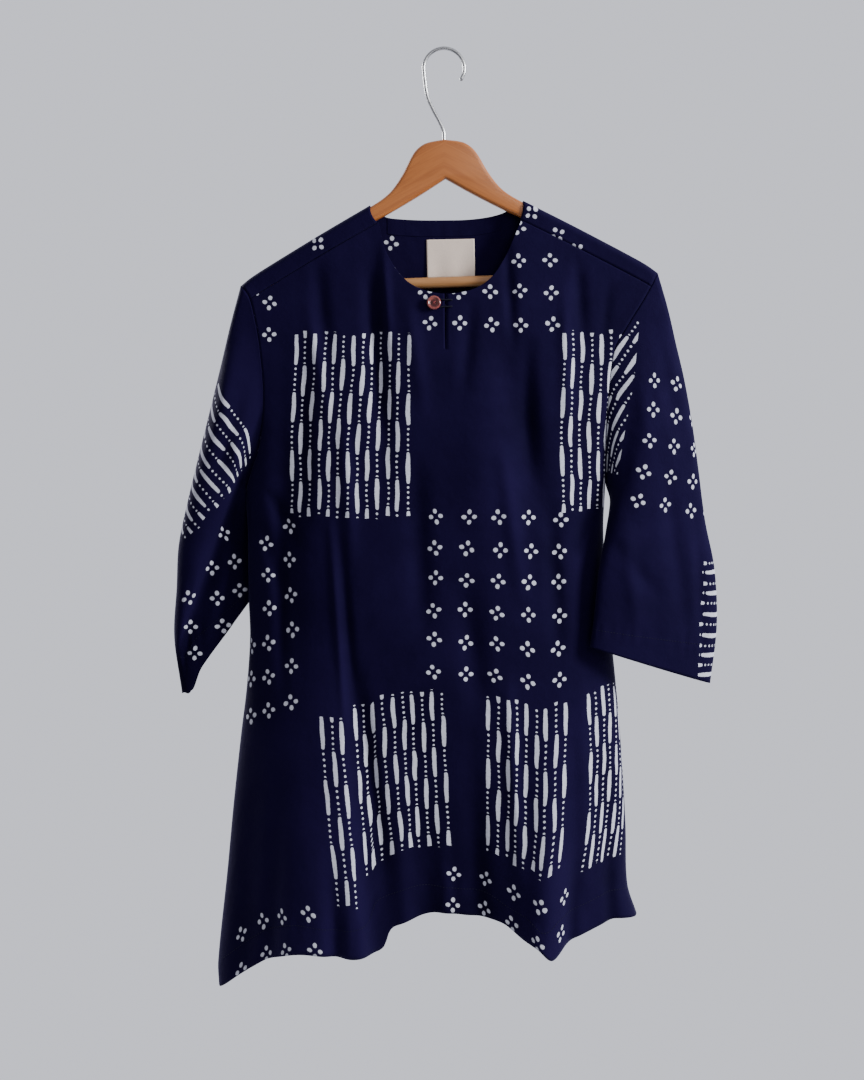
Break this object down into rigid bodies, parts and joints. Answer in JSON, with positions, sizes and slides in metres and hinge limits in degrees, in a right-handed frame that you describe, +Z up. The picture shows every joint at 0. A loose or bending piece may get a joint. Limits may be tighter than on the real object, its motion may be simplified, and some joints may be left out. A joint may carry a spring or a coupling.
{
  "type": "batik kurta on a wooden hanger",
  "caption": "Hip-length printed cotton kurta with round neck, short neck slit, button and open three-quarter sleeves, hanging on a wooden hanger.",
  "frame": {"origin": "underside of the hook's bend, where a rail carries the hanger", "axes": "+Z up, +X to the right as seen from the front, the garment's front towards -Y"},
  "size_m": [0.5872, 0.1318, 1.0129],
  "materials": {
    "cloth": "dark indigo cotton with off-white batik print",
    "label": "plain woven tape",
    "button": "polished",
    "wood": "varnished",
    "bar_wood": "satin",
    "steel": "drawn wire"
  },
  "bodies": {
    "root": {"front": "cloth", "back": "cloth", "sleeve_left": "cloth", "sleeve_right": "cloth", "back_neck_facing": "cloth", "neck_label": "label", "button": "button", "button_loop": "cloth", "hanger_arms": "wood", "hanger_bar": "bar_wood", "hanger_hook": "steel"}
  },
  "joints": []
}
